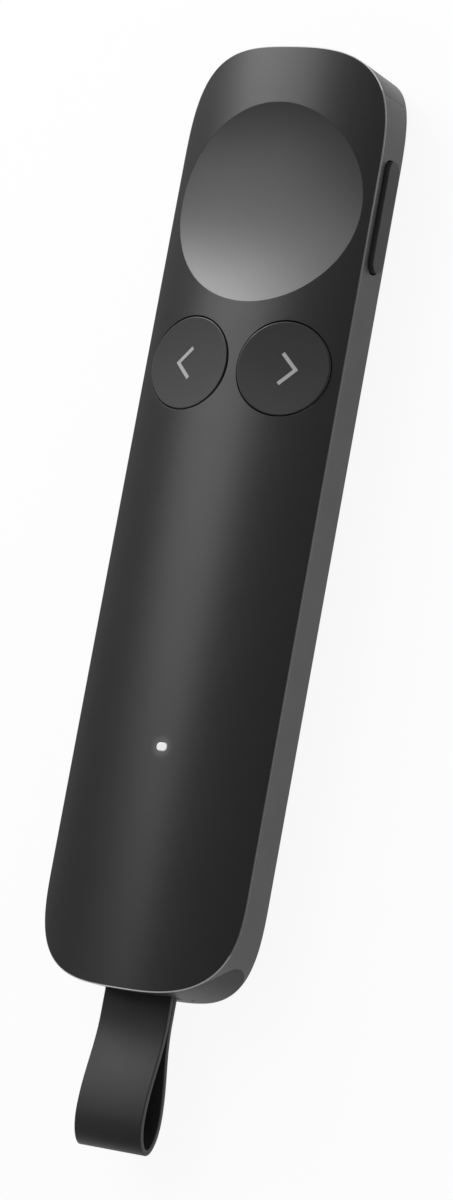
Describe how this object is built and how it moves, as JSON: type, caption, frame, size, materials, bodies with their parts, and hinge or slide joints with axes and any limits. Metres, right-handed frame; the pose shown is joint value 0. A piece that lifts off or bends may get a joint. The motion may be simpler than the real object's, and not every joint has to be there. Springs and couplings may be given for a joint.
{
  "type": "wireless presentation clicker",
  "caption": "Slim hand-held presentation remote with a scooped pointer key, round back and next keys, a side key and a tail receiver on a strap loop",
  "frame": {"origin": "middle of the flat land on the back, on the surface that the part lies on", "axes": "+Y towards the nose, +Z out of the key face, +X towards the side key"},
  "size_m": [0.0304, 0.1451, 0.0127],
  "materials": {
    "cover": "satin graphite plastic, fine moulded grain, soft sheen",
    "band": "satin graphite lacquer on the side band, slightly lighter than the covers",
    "tail": "satin graphite plastic of the receiver's cap",
    "window": "satin dark plastic that lets radio waves through",
    "keys": "satin black-grey plastic with a soft sheen",
    "side_rubber": "matt grey rubber-coated key",
    "light_pipe": "milky light pipe, glossy",
    "strap": "matt black silicone band",
    "steel": "plain stamped steel",
    "circuit": "solder-masked board, semi-gloss",
    "chip": "moulded chip package, matt",
    "ceramic_part": "fired ceramic and pale switch bodies, matt",
    "gold": "gold-plated contact strips, polished",
    "battery_foil": "foil pouch, semi-gloss",
    "inner_plastic": "plain black moulded plastic",
    "foam": "grey foam tape",
    "flex": "amber polyimide flex, glossy"
  },
  "bodies": {
    "housing": {"front_cover": "cover", "back_cover": "cover", "mid_frame": "band", "nose_window": "window", "led_lens": "light_pipe", "main_board": "circuit", "board_screws": "steel", "pointer_switch": "ceramic_part", "back_switch": "ceramic_part", "next_switch": "ceramic_part", "side_switch": "ceramic_part", "status_led": "ceramic_part", "radio_shield": "steel", "processor_chip": "chip", "motion_sensor": "chip", "antenna": "ceramic_part", "battery": "battery_foil", "battery_tray": "inner_plastic", "battery_pad": "foam", "battery_flex": "flex", "haptic_motor": "steel", "receiver_bay": "inner_plastic", "charge_port": "steel", "charge_port_tongue": "chip", "port_board": "circuit", "port_flex": "flex"},
    "pointer": {"pointer_key": "keys"},
    "back": {"back_key": "keys"},
    "next": {"next_key": "keys"},
    "side": {"side_key": "side_rubber"},
    "receiver": {"receiver_cap": "tail", "receiver_base": "inner_plastic", "usb_plug": "steel", "receiver_board": "chip", "usb_contacts": "gold", "strap_pin": "steel"},
    "strap": {"strap_loop": "strap"}
  },
  "joints": [
    {"name": "pointer_press", "type": "slide", "parent": "housing", "child": "pointer", "axis": [0, 0, -1], "range_m": [0, 0.0004], "stiffness_N_per_m": 1500},
    {"name": "back_press", "type": "slide", "parent": "housing", "child": "back", "axis": [0, 0, -1], "range_m": [0, 0.0004], "stiffness_N_per_m": 1500},
    {"name": "next_press", "type": "slide", "parent": "housing", "child": "next", "axis": [0, 0, -1], "range_m": [0, 0.0004], "stiffness_N_per_m": 1500},
    {"name": "side_press", "type": "slide", "parent": "housing", "child": "side", "axis": [-1, 0, 0], "range_m": [0, 0.0004], "stiffness_N_per_m": 1500},
    {"name": "receiver_slide", "type": "slide", "parent": "housing", "child": "receiver", "axis": [0, -1, 0], "range_m": [0, 0.02]},
    {"name": "strap_swing", "type": "hinge", "parent": "receiver", "child": "strap", "pos_m": [0, -0.061, 0.00635], "axis": [1, 0, 0], "range_deg": [-25, 25], "stiffness_Nm_per_rad": 0.004}
  ]
}
